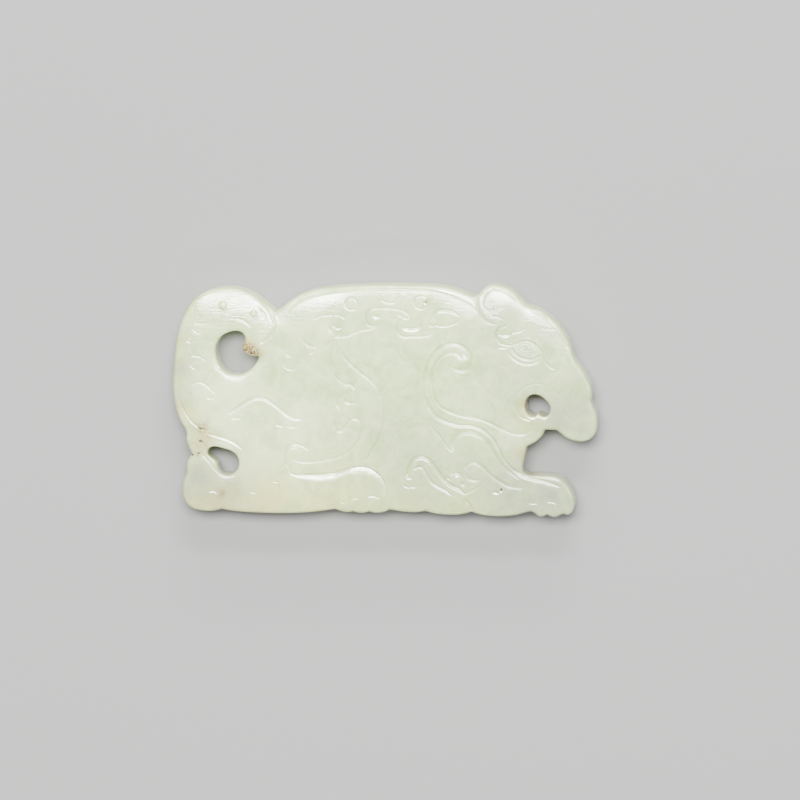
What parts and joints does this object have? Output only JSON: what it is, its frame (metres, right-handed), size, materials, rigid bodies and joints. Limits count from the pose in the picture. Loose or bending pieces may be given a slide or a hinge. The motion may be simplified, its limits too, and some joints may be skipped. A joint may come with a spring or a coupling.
{
  "type": "jade tapir pendant",
  "caption": "Flat nephrite pendant carved as a tapir-like beast in profile, with an upcurled tail, a drooping snout, engraved scrolls and holes for a cord.",
  "frame": {"origin": "under the middle of the bounding box, on the plane of the flat back face", "axes": "+X from the tail to the snout, +Y from the soles up to the beast's back, +Z out of the carved front face"},
  "size_m": [0.063, 0.0344, 0.0062],
  "materials": {
    "jade": "polished"
  },
  "bodies": {
    "root": {"tapir_pendant": "jade"}
  },
  "joints": []
}
